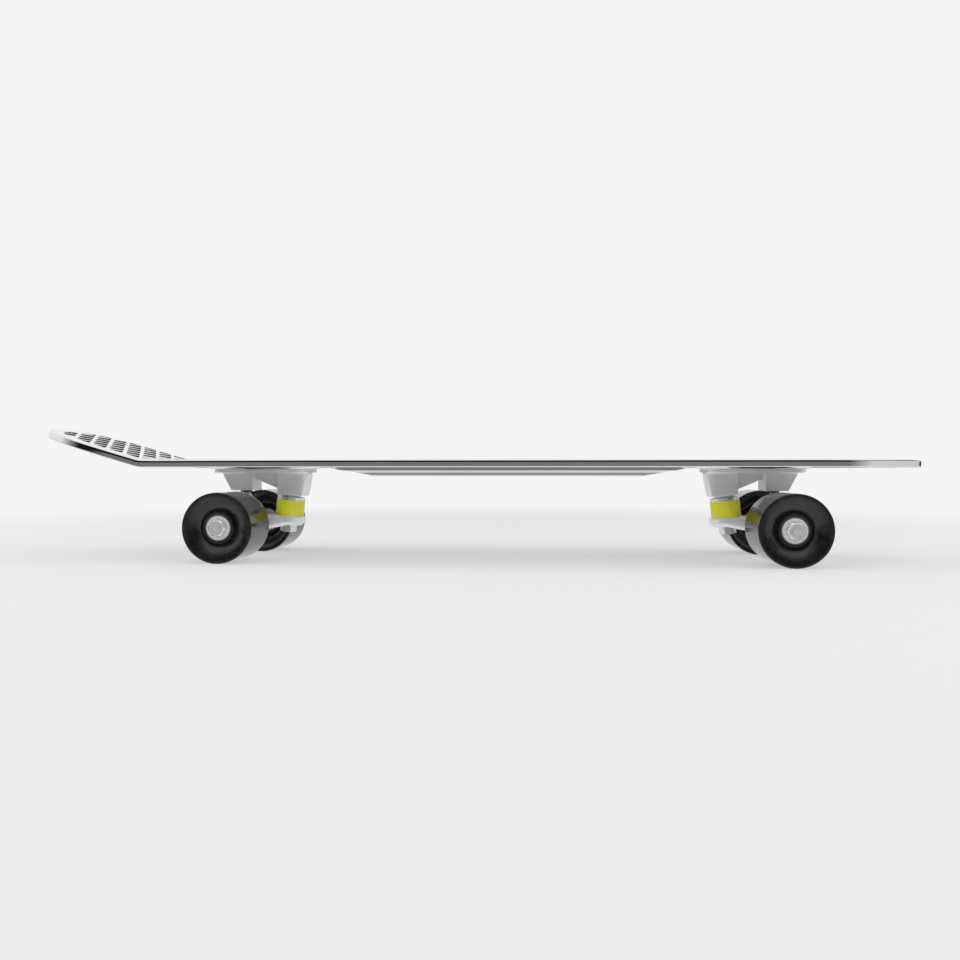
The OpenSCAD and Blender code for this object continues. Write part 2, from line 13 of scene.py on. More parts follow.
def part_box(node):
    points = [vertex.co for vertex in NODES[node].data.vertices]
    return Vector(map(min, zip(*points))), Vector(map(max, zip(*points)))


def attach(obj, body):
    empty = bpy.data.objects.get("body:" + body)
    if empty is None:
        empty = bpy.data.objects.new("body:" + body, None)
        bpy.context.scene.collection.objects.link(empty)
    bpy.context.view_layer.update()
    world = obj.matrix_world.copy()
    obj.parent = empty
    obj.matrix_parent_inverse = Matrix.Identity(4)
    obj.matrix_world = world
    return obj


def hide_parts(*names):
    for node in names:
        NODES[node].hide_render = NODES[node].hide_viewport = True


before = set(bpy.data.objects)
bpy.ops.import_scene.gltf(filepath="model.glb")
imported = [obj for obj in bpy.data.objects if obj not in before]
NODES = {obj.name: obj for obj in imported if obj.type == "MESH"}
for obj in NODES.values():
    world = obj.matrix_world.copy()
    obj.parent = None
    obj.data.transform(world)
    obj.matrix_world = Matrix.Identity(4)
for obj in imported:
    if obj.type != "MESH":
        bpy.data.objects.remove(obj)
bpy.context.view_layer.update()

MM = 0.001


# ---------------------------------------------------------------- places

def centre(node):
    low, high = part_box(node)
    return (low + high) / 2


DECK_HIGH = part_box("deck")[1]
ENDS = ("front", "rear")
SIDES = ("left", "right")
AXLE = {end: centre(f"{end}_axle") for end in ENDS}
PLATE = {end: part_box(f"{end}_baseplate") for end in ENDS}
# The deck: the depth of its rim, the thickness of its skin and how far the truck pads stand out
EDGE_MM = 6.7
SKIN_MM = 4.4
PAD_DROP = 1.2
UNDER_Z = PLATE["front"][1].z + PAD_DROP * MM
TOP_Z = UNDER_Z + EDGE_MM * MM
WHEEL_R = AXLE["front"].z
TIP_X = DECK_HIGH.x / MM
HALF_WIDTH = DECK_HIGH.y / MM


# ---------------------------------------------------------------- meshes

def add_piece(name, body, material, slot, verts, faces, replaces=(), sharp=38.0, weighted=False):
    """A mesh object that rides on a body and stands for CAD nodes. Verts are in metres."""
    mesh = bpy.data.meshes.new(name)
    mesh.from_pydata([tuple(v) for v in verts], [], faces)
    bm = bmesh.new()
    bm.from_mesh(mesh)
    bmesh.ops.remove_doubles(bm, verts=bm.verts, dist=1e-6)
    bmesh.ops.recalc_face_normals(bm, faces=bm.faces)
    bm.to_mesh(mesh)
    bm.free()
    mesh.shade_smooth()
    mesh.set_sharp_from_angle(angle=math.radians(sharp))
    piece = bpy.data.objects.new(name, mesh)
    if weighted:
        even = piece.modifiers.new("even_faces", "WEIGHTED_NORMAL")
        even.keep_sharp = True
        even.weight = 80
    return finish_piece(piece, body, material, replaces)


def finish_piece(piece, body, material, replaces=()):
    if piece.name not in bpy.context.scene.collection.objects:
        bpy.context.scene.collection.objects.link(piece)
    piece.data.materials.clear()
    piece.data.materials.append(material)
    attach(piece, body)
    if replaces:
        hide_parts(*replaces)
    return piece


def lathe(profile, place, steps=128):
    """A closed ring profile of (radius, height) in millimetres, turned as place maps it."""
    verts, faces = [], []
    count = len(profile)
    for i in range(steps):
        angle = 2 * math.pi * i / steps
        for radius, height in profile:
            verts.append(place(radius * math.cos(angle), radius * math.sin(angle), height))
    for i in range(steps):
        j = (i + 1) % steps
        for k in range(count):
            n = (k + 1) % count
            faces.append((i * count + k, j * count + k, j * count + n, i * count + n))
    return verts, faces


def arc(cx, cy, radius, start, end, steps):
    """Points of an arc, in degrees from the first axis towards the second."""
    points = []
    for i in range(steps + 1):
        angle = math.radians(start + (end - start) * i / steps)
        points.append((cx + radius * math.cos(angle), cy + radius * math.sin(angle)))
    return points


def joined(parts):
    """One mesh of several."""
    verts, faces = [], []
    for part_verts, part_faces in parts:
        first = len(verts)
        verts.extend(part_verts)
        faces.extend(tuple(first + i for i in face) for face in part_faces)
    return verts, faces


# ---------------------------------------------------------------- materials

class Nodes:
    """Short names for building one node material."""

    def __init__(self, name):
        self.material = bpy.data.materials.new(name)
        self.material.use_nodes = True
        self.tree = self.material.node_tree
        self.shader = self.tree.nodes["Principled BSDF"]
        self.coords = self.tree.nodes.new("ShaderNodeTexCoord")

    def set(self, **values):
        for key, value in values.items():
            self.shader.inputs[key.replace("_", " ")].default_value = value

    def link(self, source, target):
        self.tree.links.new(source, target)

    def noise(self, scale, detail=4.0, rough=0.55, stretch=None):
        node = self.tree.nodes.new("ShaderNodeTexNoise")
        node.inputs["Scale"].default_value = scale
        node.inputs["Detail"].default_value = detail
        node.inputs["Roughness"].default_value = rough
        source = self.coords.outputs["Object"]
        if stretch:
            mapping = self.tree.nodes.new("ShaderNodeMapping")
            mapping.inputs["Scale"].default_value = stretch
            self.link(source, mapping.inputs["Vector"])
            source = mapping.outputs["Vector"]
        self.link(source, node.inputs["Vector"])
        return node.outputs["Fac"]

    def spread(self, source, low, high, start=0.3, end=0.7):
        node = self.tree.nodes.new("ShaderNodeMapRange")
        limits = {"From Min": start, "From Max": end, "To Min": low, "To Max": high}
        for key, value in limits.items():
            node.inputs[key].default_value = value
        self.link(source, node.inputs["Value"])
        return node.outputs["Result"]

    def mix(self, source, low, high, start=0.35, end=0.65):
        ramp = self.tree.nodes.new("ShaderNodeValToRGB")
        ramp.color_ramp.elements[0].position = start
        ramp.color_ramp.elements[1].position = end
        ramp.color_ramp.elements[0].color = (*low, 1)
        ramp.color_ramp.elements[1].color = (*high, 1)
        self.link(source, ramp.inputs["Fac"])
        return ramp.outputs["Color"]

    def colour(self, source):
        self.link(source, self.shader.inputs["Base Color"])

    def roughness(self, source):
        self.link(source, self.shader.inputs["Roughness"])

    def bump(self, *layers):
        """Layers are (height source, strength, distance)."""
        previous = None
        for source, strength, distance in layers:
            node = self.tree.nodes.new("ShaderNodeBump")
            node.inputs["Strength"].default_value = strength
            node.inputs["Distance"].default_value = distance
            self.link(source, node.inputs["Height"])
            if previous:
                self.link(previous, node.inputs["Normal"])
            previous = node.outputs["Normal"]
        self.link(previous, self.shader.inputs["Normal"])


def silver_mirror():
    """The deck's metallised plastic: a mirror with moulding ripple and faint handling marks."""
    n = Nodes("silver_mirror")
    n.set(Metallic=1.0, Specular_IOR_Level=0.5)
    n.colour(n.mix(n.noise(9.0, 3.0), (0.78, 0.785, 0.79), (0.86, 0.863, 0.866)))
    n.roughness(n.spread(n.noise(45.0, 6.0, 0.65), 0.035, 0.085))
    n.bump((n.noise(28.0, 2.0), 0.10, 0.0008), (n.noise(900.0, 2.0), 0.03, 0.00005))
    return n.material


def cast_alloy():
    """Tumbled cast aluminium: fine grain, small casting unevenness and satin polish."""
    n = Nodes("cast_alloy")
    n.set(Metallic=0.45)
    n.colour(n.mix(n.noise(60.0, 5.0), (0.84, 0.845, 0.85), (0.92, 0.925, 0.93)))
    n.roughness(n.spread(n.noise(140.0, 5.0), 0.30, 0.42))
    n.bump((n.noise(1500.0, 3.0), 0.12, 0.00004), (n.noise(160.0, 2.0), 0.15, 0.0001))
    return n.material


def bright_steel():
    """Zinc-plated fasteners: turned marks and light variation in the plating."""
    n = Nodes("bright_steel")
    n.set(Metallic=0.65)
    n.colour(n.mix(n.noise(180.0, 4.0), (0.76, 0.765, 0.77), (0.86, 0.86, 0.86)))
    n.roughness(n.spread(n.noise(350.0, 5.0), 0.16, 0.30))
    n.bump((n.noise(900.0, 3.0, stretch=(1, 6, 1)), 0.10, 0.00003))
    return n.material


def bearing_steel():
    """Ground and polished bearing steel, kept darker than the bright steel: partly its own tone, partly
    painted shade for the shadowed gap round the shields.
    """
    n = Nodes("bearing_steel")
    n.set(Metallic=1.0)
    # painted shade: this darker grey stands in part for the shadow in the gap between the shields and
    # the wheel's hub
    n.colour(n.mix(n.noise(300.0, 3.0), (0.42, 0.42, 0.43), (0.52, 0.52, 0.53)))
    n.roughness(n.spread(n.noise(500.0, 4.0), 0.14, 0.26))
    n.bump((n.noise(1800.0, 2.0), 0.06, 0.00002))
    return n.material


def shield_steel():
    """Pressed shield: fine rings from the rolling of the sheet, on a bright face."""
    n = Nodes("shield_steel")
    n.set(Metallic=0.5)
    n.colour(n.mix(n.noise(220.0, 4.0), (0.82, 0.82, 0.82), (0.90, 0.90, 0.90)))
    n.roughness(n.spread(n.noise(420.0, 5.0), 0.24, 0.38))
    n.bump((n.noise(1400.0, 3.0), 0.10, 0.00003))
    return n.material


def lime_urethane():
    """The bushings: poured urethane, a little cloudy, with a satin skin."""
    n = Nodes("lime_urethane")
    n.set(Subsurface_Weight=0.12, Subsurface_Scale=0.004, Specular_IOR_Level=0.45)
    n.shader.inputs["Subsurface Radius"].default_value = (1.0, 0.8, 0.2)
    n.colour(n.mix(n.noise(90.0, 4.0), (0.74, 0.73, 0.026), (0.86, 0.84, 0.044)))
    n.roughness(n.spread(n.noise(400.0, 5.0), 0.32, 0.48))
    n.bump((n.noise(1100.0, 3.0), 0.12, 0.00005), (n.noise(120.0, 2.0), 0.10, 0.0001))
    return n.material


def black_rubber():
    n = Nodes("black_rubber")
    n.set(Specular_IOR_Level=0.35)
    n.colour(n.mix(n.noise(300.0, 4.0), (0.010, 0.010, 0.011), (0.022, 0.022, 0.023)))
    n.roughness(n.spread(n.noise(500.0, 5.0), 0.48, 0.68))
    n.bump((n.noise(1600.0, 3.0), 0.20, 0.00004))
    return n.material


def black_urethane():
    """The wheels: glossy cast urethane with faint turning marks and dust in its skin."""
    n = Nodes("black_urethane")
    n.set(Specular_IOR_Level=0.55, IOR=1.5)
    n.colour(n.mix(n.noise(260.0, 6.0, 0.7), (0.006, 0.006, 0.0065), (0.015, 0.015, 0.016)))
    n.roughness(n.spread(n.noise(120.0, 6.0, 0.6), 0.09, 0.17))
    n.bump((n.noise(420.0, 3.0), 0.05, 0.00006), (n.noise(2200.0, 2.0), 0.03, 0.00002))
    return n.material


MIRROR = silver_mirror()
ALLOY = cast_alloy()
STEEL = bright_steel()
RACE_STEEL_PAINTED_SHADE = bearing_steel()
SHIELD = shield_steel()
LIME = lime_urethane()
RUBBER = black_rubber()
URETHANE = black_urethane()


# ---------------------------------------------------------------- deck: surface and outline

TAIL_HALF = 62.0
KICK_MM = 102.0
KICK_TURN = math.radians(16.3)
CREASE_MM = 24.0
TAPER_MM = 170.0
NOSE_ROUND = 150.0
NOSE_POWER = 2.25
TAIL_POWER = 3.0
BEND_X = -TIP_X + KICK_MM
FLAT_START = BEND_X + CREASE_MM * math.tan(KICK_TURN / 2)
CREASE_ARC = CREASE_MM * KICK_TURN
CREASE_STOPS = [FLAT_START - CREASE_ARC * i / 6 for i in range(7)]
TAIL_START = BEND_X - 10.0
TAIL_TIP = -TIP_X + 1.7
NOSE_START = TIP_X - NOSE_ROUND


def deck_point(along, across, depth):
    """A point at a distance along the top surface, across it and below it, all in millimetres."""
    run = FLAT_START - along
    if run <= 0:
        x, z = along, -depth
    elif run < CREASE_ARC:
        turn = run / CREASE_MM
        x = FLAT_START - (CREASE_MM + depth) * math.sin(turn)
        z = CREASE_MM - (CREASE_MM + depth) * math.cos(turn)
    else:
        rest = run - CREASE_ARC
        x = FLAT_START - (CREASE_MM + depth) * math.sin(KICK_TURN) - rest * math.cos(KICK_TURN)
        z = CREASE_MM - (CREASE_MM + depth) * math.cos(KICK_TURN) + rest * math.sin(KICK_TURN)
    return Vector((x * MM, across * MM, TOP_Z + z * MM))


def along_from_x(x):
    """Distance along the top surface of the point that lies at x."""
    if x >= FLAT_START:
        return x
    crease_end = FLAT_START - CREASE_MM * math.sin(KICK_TURN)
    if x > crease_end:
        return FLAT_START - CREASE_MM * math.asin((FLAT_START - x) / CREASE_MM)
    return FLAT_START - CREASE_ARC - (crease_end - x) / math.cos(KICK_TURN)


def smooth(u):
    u = min(1.0, max(0.0, u))
    return u * u * (3 - 2 * u)


def half_width(x):
    """Half the deck's width at x, in millimetres."""
    if x >= NOSE_START:
        u = min(1.0, (x - NOSE_START) / NOSE_ROUND)
        return HALF_WIDTH * (1 - u ** NOSE_POWER) ** (1 / NOSE_POWER)
    if x >= TAIL_START:
        return TAIL_HALF + smooth((x - TAIL_START) / TAPER_MM) * (HALF_WIDTH - TAIL_HALF)
    u = min(1.0, (TAIL_START - x) / (TAIL_START - TAIL_TIP))
    return TAIL_HALF * (1 - u ** TAIL_POWER) ** (1 / TAIL_POWER)


def outline():
    """The deck's edge as a loop of (along, across), evenly enough spaced for a smooth rim."""
    upper = []
    for i in range(25):
        turn = math.pi / 2 * i / 24
        u, v = math.cos(turn) ** (2 / TAIL_POWER), math.sin(turn) ** (2 / TAIL_POWER)
        upper.append((TAIL_START - u * (TAIL_START - TAIL_TIP), TAIL_HALF * v))
    stations = [deck_point(along, 0, 0).x / MM for along in CREASE_STOPS]
    x = TAIL_START
    while x < NOSE_START - 4:
        x = min(x + (4.0 if x < TAIL_START + TAPER_MM else 16.0), NOSE_START)
        if all(abs(x - station) > 1.5 for station in stations):
            stations.append(x)
    upper.extend((x, half_width(x)) for x in sorted(stations))
    for i in range(1, 41):
        turn = math.pi / 2 * i / 40
        u, v = math.sin(turn) ** (2 / NOSE_POWER), math.cos(turn) ** (2 / NOSE_POWER)
        upper.append((NOSE_START + u * NOSE_ROUND, HALF_WIDTH * max(0.0, v)))
    upper[-1] = (TIP_X, 0.0)
    lower = [(x, -y) for x, y in upper[-2:0:-1]]
    return [(along_from_x(x), y) for x, y in upper + lower]


def inset_loop(loop, amount):
    """A loop moved inwards along its own normals."""
    moved = []
    count = len(loop)
    for i, (x, y) in enumerate(loop):
        ax, ay = loop[i - 1]
        bx, by = loop[(i + 1) % count]
        dx, dy = bx - ax, by - ay
        size = math.hypot(dx, dy) or 1.0
        moved.append((x + dy / size * amount, y - dx / size * amount))
    return moved


EDGE = outline()


# ---------------------------------------------------------------- deck: rim, sheets, pads and tunnel

RIM_IN = 5.4
SHEET_IN = 7.7
# The moulded edge in section, as (distance in from the outline, depth below the top)
RIM = (
    [(RIM_IN, 0.0), (4.2, 0.01), (3.0, 0.03), (2.0, 0.08), (1.3, 0.18), (0.8, 0.36), (0.42, 0.62),
     (0.15, 0.95), (0.02, 1.3), (0.0, 1.55), (0.0, 2.1), (0.0, 2.7), (0.025, 3.3), (0.055, 4.1),
     (0.09, 5.0), (0.12, 5.85), (0.17, 6.2), (0.4, 6.5), (0.9, 6.65), (2.0, EDGE_MM)]
    + [(6.5, EDGE_MM), (6.85, 6.6), (7.0, 6.35), (7.05, 5.0), (7.25, 4.6), (SHEET_IN, SKIN_MM)]
)


def swept_loops(loops):
    """Bands between closed loops of equal length. Each loop is a list of (along, across, depth)."""
    verts = [deck_point(*point) for loop in loops for point in loop]
    count = len(loops[0])
    faces = []
    for row in range(len(loops) - 1):
        for i in range(count):
            j = (i + 1) % count
            here, below = row * count, (row + 1) * count
            faces.append((here + i, here + j, below + j, below + i))
    return verts, faces


def sheet(loops, keep):
    """Triangles between nested loops, each a list of (along, across, depth). keep decides by middle."""
    flat, edges = [], []
    depths = []
    for loop in loops:
        first = len(flat)
        for i, (along, across, depth) in enumerate(loop):
            flat.append(Vector((along, across)))
            depths.append(depth)
            edges.append((first + i, first + (i + 1) % len(loop)))
    spots, _, triangles, origins, _, _ = geometry.delaunay_2d_cdt(flat, edges, [], 1, 1e-4, True)
    mesh = bmesh.new()
    corners = [
        mesh.verts.new((spot.x, spot.y, depths[origin[0]] if origin else depths[0]))
        for spot, origin in zip(spots, origins)
    ]
    for triangle in triangles:
        if keep((spots[triangle[0]] + spots[triangle[1]] + spots[triangle[2]]) / 3):
            mesh.faces.new([corners[i] for i in triangle])
    for stop in CREASE_STOPS:
        cut = mesh.verts[:] + mesh.edges[:] + mesh.faces[:]
        bmesh.ops.bisect_plane(mesh, geom=cut, dist=1e-4, plane_co=(stop, 0, 0), plane_no=(1, 0, 0))
    mesh.verts.index_update()
    verts = [deck_point(*corner.co) for corner in mesh.verts]
    faces = [tuple(corner.index for corner in face.verts) for face in mesh.faces]
    mesh.free()
    return verts, faces


def clip(polygon, point, normal):
    """The part of a convex polygon on the side of a line that its normal points to."""
    kept = []
    count = len(polygon)
    for i in range(count):
        a, b = polygon[i], polygon[(i + 1) % count]
        da, db = (a - point).dot(normal), (b - point).dot(normal)
        if da >= 0:
            kept.append(a)
        if (da > 0 > db) or (da < 0 < db):
            kept.append(a + (b - a) * (da / (da - db)))
    return kept


def area(polygon):
    total = 0.0
    for i, a in enumerate(polygon):
        b = polygon[(i + 1) % len(polygon)]
        total += a.x * b.y - b.x * a.y
    return abs(total) / 2


def shrink(polygon, amount):
    """A convex polygon with each side moved in."""
    middle = sum(polygon, Vector((0, 0))) / len(polygon)
    small = list(polygon)
    for i, a in enumerate(polygon):
        b = polygon[(i + 1) % len(polygon)]
        side = b - a
        if side.length < 1e-6:
            continue
        normal = Vector((-side.y, side.x)).normalized()
        if (middle - a).dot(normal) < 0:
            normal = -normal
        small = clip(small, a + normal * amount, normal)
        if len(small) < 3:
            return []
    return small


def tidy(polygon, least):
    """A polygon without points that lie nearly on top of each other."""
    kept = []
    for point in polygon:
        if not kept or (point - kept[-1]).length > least:
            kept.append(point)
    if len(kept) > 1 and (kept[0] - kept[-1]).length <= least:
        kept.pop()
    return kept


def rounded(polygon, radius, steps=2):
    """A convex polygon with each corner cut round, as a list of points."""
    points = []
    count = len(polygon)
    for i, corner in enumerate(polygon):
        before, after = polygon[i - 1] - corner, polygon[(i + 1) % count] - corner
        reach = min(radius, before.length * 0.4, after.length * 0.4)
        start, end = corner + before.normalized() * reach, corner + after.normalized() * reach
        for k in range(steps + 1):
            t = k / steps
            points.append(start * (1 - t) ** 2 + corner * 2 * t * (1 - t) + end * t * t)
    return points


# The waffle: a rhombic cell's diagonals, the ridges between cells, and the flat margins
CELL_X = 15.5
CELL_Y = 32.0
RIDGE = 3.1
CELL_DEEP = 1.3
CELL_DRAFT = 0.12
CELL_MARGIN = 11.0
CREASE_MARGIN = 1.2
BOLT_MARGIN = 7.4
CELL_LEAST = 30.0
FIRST_CELL = 7.0
CELL_ROWS = 6

# The mounting bolts' heads and their countersinks
HEAD_R = 4.7
SINK_R, SINK_FOOT_R, SINK_DEEP = 4.85, 2.7, 2.5
BOLTS = []
for end in ENDS:
    low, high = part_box(f"{end}_mounting_bolts")
    for bolt_x in (low.x / MM + HEAD_R, high.x / MM - HEAD_R):
        for bolt_y in (low.y / MM + HEAD_R, high.y / MM - HEAD_R):
            BOLTS.append(Vector((bolt_x, bolt_y)))


def on_deck(point, margin):
    """Whether a point (along, across) lies at least a margin in from the deck's edge."""
    x = deck_point(point.x, 0, 0).x / MM
    return TAIL_TIP < x < TIP_X and abs(point.y) < half_width(x) - margin


def waffle_cells():
    """The top's recessed rhombic cells, clipped to the margin, the bolts and the crease."""
    edge = [Vector(point) for point in EDGE]
    inward = []
    for i, point in enumerate(edge):
        run = edge[(i + 1) % len(edge)] - edge[i - 1]
        inward.append(Vector((run.y, -run.x)).normalized())
    crease_low = FLAT_START - CREASE_ARC - CREASE_MARGIN
    crease_high = FLAT_START + CREASE_MARGIN
    near_edge, near_bolt = CELL_Y + 2, CELL_Y - 6
    cells = []
    columns = int((TIP_X - edge[0].x) / CELL_X) + 3
    for row in range(-CELL_ROWS, CELL_ROWS + 1):
        for column in range(-1, columns):
            x = FLAT_START + FIRST_CELL + (column - 8 + (0.5 if row % 2 else 0.0)) * CELL_X
            y = row * CELL_Y / 2
            middle = Vector((x, y))
            cell = [
                middle + Vector((-CELL_X / 2, 0)), middle + Vector((0, -CELL_Y / 2)),
                middle + Vector((CELL_X / 2, 0)), middle + Vector((0, CELL_Y / 2)),
            ]
            cell = shrink(cell, RIDGE / 2)
            if x < (crease_low + crease_high) / 2:
                cell = clip(cell, Vector((crease_low, 0)), Vector((-1, 0)))
            else:
                cell = clip(cell, Vector((crease_high, 0)), Vector((1, 0)))
            for point, normal in zip(edge, inward):
                if len(cell) >= 3 and (point - middle).length < near_edge:
                    cell = clip(cell, point + normal * CELL_MARGIN, normal)
            for bolt in BOLTS:
                away = middle - bolt
                if len(cell) >= 3 and away.length < near_bolt:
                    direction = away.normalized() if away.length > 0.5 else Vector((1, 0))
                    cell = clip(cell, bolt + direction * BOLT_MARGIN, direction)
            cell = tidy(cell, 0.5) if len(cell) >= 3 else cell
            if len(cell) < 3 or area(cell) <= CELL_LEAST:
                continue
            if all(on_deck(point, CELL_MARGIN - 1) for point in cell):
                cells.append(cell)
    return cells


def circle_loop(middle, radius, depth, steps=28):
    return [
        (middle.x + radius * math.cos(2 * math.pi * i / steps),
         middle.y + radius * math.sin(2 * math.pi * i / steps), depth)
        for i in range(steps)
    ]


def bar_loop(low_x, high_x, half_y, radius, depth, extra=()):
    """A rounded rectangle, with extra points along its straight sides at the given places."""
    points = []
    corners = ((high_x - radius, half_y - radius, 0), (low_x + radius, half_y - radius, 90),
               (low_x + radius, -half_y + radius, 180), (high_x - radius, -half_y + radius, 270))
    for index, (cx, cy, start) in enumerate(corners):
        points.extend(arc(cx, cy, radius, start, start + 90, 8))
        stops = [x for x in extra if low_x + radius + 0.2 < x < high_x - radius - 0.2]
        if index == 0:
            points.extend((x, half_y) for x in sorted(stops, reverse=True))
        if index == 2:
            points.extend((x, -half_y) for x in sorted(stops))
    return [(x, y, depth(x) if callable(depth) else depth) for x, y in points]


def deck_mesh():
    parts = []
    loops = []
    for inset, depth in RIM:
        loops.append([(x, y, depth) for x, y in inset_loop(EDGE, inset)])
    parts.append(swept_loops(loops))

    # Top: a flat sheet with the waffle cells and the countersinks
    top = [loops[0]]
    for cell in waffle_cells():
        brim = rounded(cell, 0.9)
        top.append([(p.x, p.y, 0.0) for p in brim])
        foot = tidy(shrink(cell, CELL_DRAFT), 0.3)
        if len(foot) >= 3:
            top.append([(p.x, p.y, CELL_DEEP) for p in rounded(foot, 0.8)])
    for bolt in BOLTS:
        top.append(circle_loop(bolt, SINK_R, 0.0))
        top.append(circle_loop(bolt, SINK_FOOT_R, SINK_DEEP))
    parts.append(sheet(top, lambda middle: True))

    # Underside: the skin between the rim, the truck pads and the tunnel
    pads = []
    for end in ENDS:
        low, high = PLATE[end]
        x0, x1 = low.x / MM - 3.5, high.x / MM + 3.5
        half = high.y / MM + 3.5
        section = ((0.9, SKIN_MM), (0.4, SKIN_MM + 0.15), (0.1, SKIN_MM + 0.5), (0.0, 5.2), (-0.1, 6.4),
                   (-0.5, 7.3), (-0.9, 7.75), (-1.4, EDGE_MM + PAD_DROP))
        rings = [bar_loop(x0 - o, x1 + o, half + o, 7 + o, depth) for o, depth in section]
        pads.append((x0 - 0.9, x1 + 0.9, half + 0.9))
        parts.append(swept_loops(rings))
        parts.append(sheet([rings[-1]], lambda middle: True))
        pads[-1] += (rings[0],)

    t0, t1 = AXLE["rear"].x / MM + 80.0, AXLE["front"].x / MM - 71.5
    slope, deep, half = 44.0, 7.5, 33.0

    def tunnel_depth(profile):
        return lambda x: EDGE_MM + min(profile, deep * max(0.0, min(x - t0, t1 - x)) / slope)

    # Distance out from the tunnel's root, and how far below the deck's underside the wall may reach
    wall = ((0.0, 0.0), (-0.05, 1.2), (-0.1, 2.5), (-0.35, 2.8), (-1.2, 3.15), (-2.2, 3.5), (-2.75, 3.8),
            (-3.0, 4.2), (-3.05, 5.8), (-3.15, 6.9), (-3.35, 7.3), (-3.8, deep))
    stops = set()
    for x in range(int(t0) + 16, int(t1) - 14, 4):
        if x - t0 < slope + 4 or t1 - x < slope + 4 or x % 16 == 0:
            stops.add(float(x))
    for _, level in wall:
        stops.add(t0 + slope * level / deep)
        stops.add(t1 - slope * level / deep)
    stops = sorted(stops)
    stops = [x for i, x in enumerate(stops) if i == 0 or x - stops[i - 1] > 0.15]
    rings = []
    fillet = ((1.2, SKIN_MM), (0.7, SKIN_MM + 0.12), (0.3, SKIN_MM + 0.4), (0.1, SKIN_MM + 0.9))
    for out, depth in fillet:
        rings.append(bar_loop(t0 - out, t1 + out, half + out, 14 + out, depth, stops))
    for out, level in wall:
        rings.append(bar_loop(t0 - out, t1 + out, half + out, 14 + out, tunnel_depth(level), stops))
    parts.append(swept_loops(rings))
    bottom = [rings[-1]]
    middle_x, pitch, rib = (t0 + t1) / 2, 38.0, 3.0
    foot = EDGE_MM + deep
    hollow = ((0.35, foot), (0.0, foot - 0.35), (-0.35, EDGE_MM + 0.5), (-0.9, EDGE_MM))
    cell_half = (half - 3 - 1.5 * rib) / 2
    count = int(((t1 - t0) / 2 - slope) / pitch)
    for i in range(-count, count):
        for side in (-1, 1):
            cx, cy = middle_x + (i + 0.5) * pitch, side * (cell_half + rib / 2)
            for out, depth in hollow:
                half_x = (pitch - rib) / 2 + out
                loop = bar_loop(cx - half_x, cx + half_x, cell_half + out, 3.4 + out, depth)
                bottom.append([(x, y + cy, d) for x, y, d in loop])
    for x in (t0 + slope, t1 - slope):
        reach = half - 4.1
        bottom.append([(x, -reach, EDGE_MM + deep), (x, reach, EDGE_MM + deep)])
    parts.append(sheet(bottom, lambda middle: True))

    def skin_only(middle):
        for x0, x1, pad_half, _ in pads:
            inner = x0 < middle.x < x1 and abs(middle.y) < pad_half - 0.01
            if inner and inside_bar(middle, x0, x1, pad_half, 7.9):
                return False
        return not inside_bar(middle, t0 - 1.2, t1 + 1.2, half + 1.2, 15.2)

    under = [[(x, y, SKIN_MM) for x, y in inset_loop(EDGE, SHEET_IN)]]
    under += [pad[3] for pad in pads] + [rings[0]]
    parts.append(sheet(under, skin_only))
    return joined(parts)


def inside_bar(point, low_x, high_x, half_y, radius):
    """Whether a point lies within a rounded rectangle."""
    dx = max(low_x + radius - point.x, point.x - high_x + radius, 0.0)
    dy = max(abs(point.y) - half_y + radius, 0.0)
    return low_x < point.x < high_x and abs(point.y) < half_y and math.hypot(dx, dy) < radius


add_piece("deck_skin", "board", MIRROR, "deck", *deck_mesh(), replaces=["deck"], sharp=32.0,
          weighted=True)


# ---------------------------------------------------------------- wheels

# Radii and distances out from the wheel's middle plane, in millimetres
WHEEL_MM = WHEEL_R / MM
HALF_W = 23.0
BORE_SHOULDER_R = 9.8
BEARING_DEEP = 5.0
BEARING_R = 11.0
HUB_OUT = 6.9
HUB_FACE = 11.8
DISH_START, DISH_END = 14.6, 28.0
DISH_OUT, DISH_IN = 6.6, 16.5
DISH_CURVE = 1.9
DISH_STEPS = 24
TREAD_EDGE = 0.9
QUARTER = [math.radians(15 * i) for i in range(7)]


def wheel_profile():
    """Half a section through the wheel: (radius, distance outwards from its middle plane)."""

    def face(way, deep):
        hub = HUB_OUT + way * HUB_FACE
        points = [(BEARING_R, HUB_OUT + way * BEARING_DEEP), (BEARING_R, hub - way * 0.25),
                  (BEARING_R + 0.25, hub), (12.5, hub)]
        points += [(12.5 + 0.7 * math.sin(a), hub - way * 0.7 * (1 - math.cos(a))) for a in QUARTER]
        floor_h = HALF_W - deep
        for i in range(DISH_STEPS + 1):
            u = i / DISH_STEPS
            points.append((DISH_START + (DISH_END - DISH_START) * u,
                           way * (floor_h + deep * (1 - (1 - u) ** DISH_CURVE))))
        edge = WHEEL_MM - TREAD_EDGE
        points += [(edge + TREAD_EDGE * math.sin(a), way * (HALF_W - TREAD_EDGE * (1 - math.cos(a))))
                   for a in QUARTER]
        points += [(WHEEL_MM, way * (HALF_W - 3.0)), (WHEEL_MM, way * (HALF_W - 12.0))]
        return points

    outer, inner = face(1, DISH_OUT), face(-1, DISH_IN)[::-1]
    return ([(BORE_SHOULDER_R, HUB_OUT + BEARING_DEEP)] + outer + inner
            + [(BORE_SHOULDER_R, HUB_OUT - BEARING_DEEP)])


for end in ENDS:
    for side in SIDES:
        middle = centre(f"{end}_{side}_wheel")
        way = 1 if side == "left" else -1
        verts, faces = lathe(
            wheel_profile(),
            lambda a, b, h, m=middle, w=way: (m.x + a * MM, m.y + w * h * MM, m.z + b * MM), 160)
        add_piece(f"{end}_{side}_tyre", f"{end}_{side}_wheel_set", URETHANE, "wheel", verts, faces,
                  replaces=[f"{end}_{side}_wheel"], sharp=50.0)


# ---------------------------------------------------------------- CAD pieces: materials and cast edges

